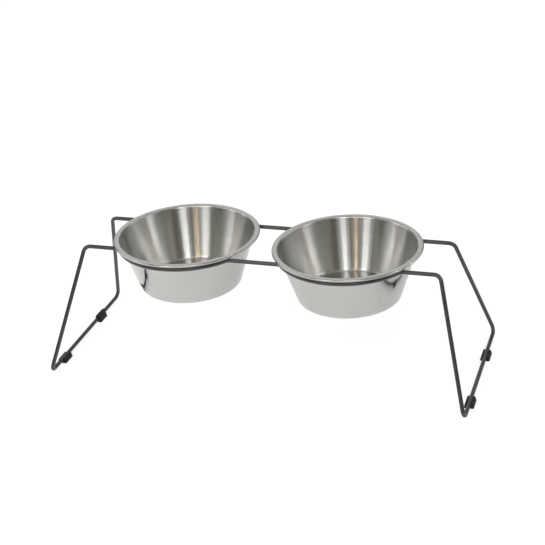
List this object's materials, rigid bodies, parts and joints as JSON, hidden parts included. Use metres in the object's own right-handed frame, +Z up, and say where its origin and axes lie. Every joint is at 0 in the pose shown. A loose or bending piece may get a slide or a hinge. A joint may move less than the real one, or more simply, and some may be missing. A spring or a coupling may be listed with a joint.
{
  "type": "raised dog feeder",
  "caption": "Tapered stainless steel bowls hanging by their rims in a low black wire stand with splayed legs and clip-on rubber feet; each bowl lifts straight out for filling or washing.",
  "frame": {"origin": "On the floor under the middle of the stand, midway between the two bowls", "axes": "+X along the row of bowls to the right as seen from the front, +Y to the rear, +Z up"},
  "size_m": [0.4716, 0.1844, 0.1423],
  "materials": {
    "coated_wire": "matte",
    "bowl_steel": "satin",
    "foot_rubber": "matte"
  },
  "bodies": {
    "stand": {"front_rail": "coated_wire", "rear_rail": "coated_wire", "left_leg_frame": "coated_wire", "right_leg_frame": "coated_wire", "front_left_foot": "foot_rubber", "rear_left_foot": "foot_rubber", "front_right_foot": "foot_rubber", "rear_right_foot": "foot_rubber"},
    "left_bowl_body": {"left_bowl": "bowl_steel"},
    "right_bowl_body": {"right_bowl": "bowl_steel"}
  },
  "joints": [
    {"name": "left_bowl_lift", "type": "slide", "parent": "stand", "child": "left_bowl_body", "axis": [0, 0, 1], "range_m": [0, 0.08]},
    {"name": "right_bowl_lift", "type": "slide", "parent": "stand", "child": "right_bowl_body", "axis": [0, 0, 1], "range_m": [0, 0.08]}
  ]
}
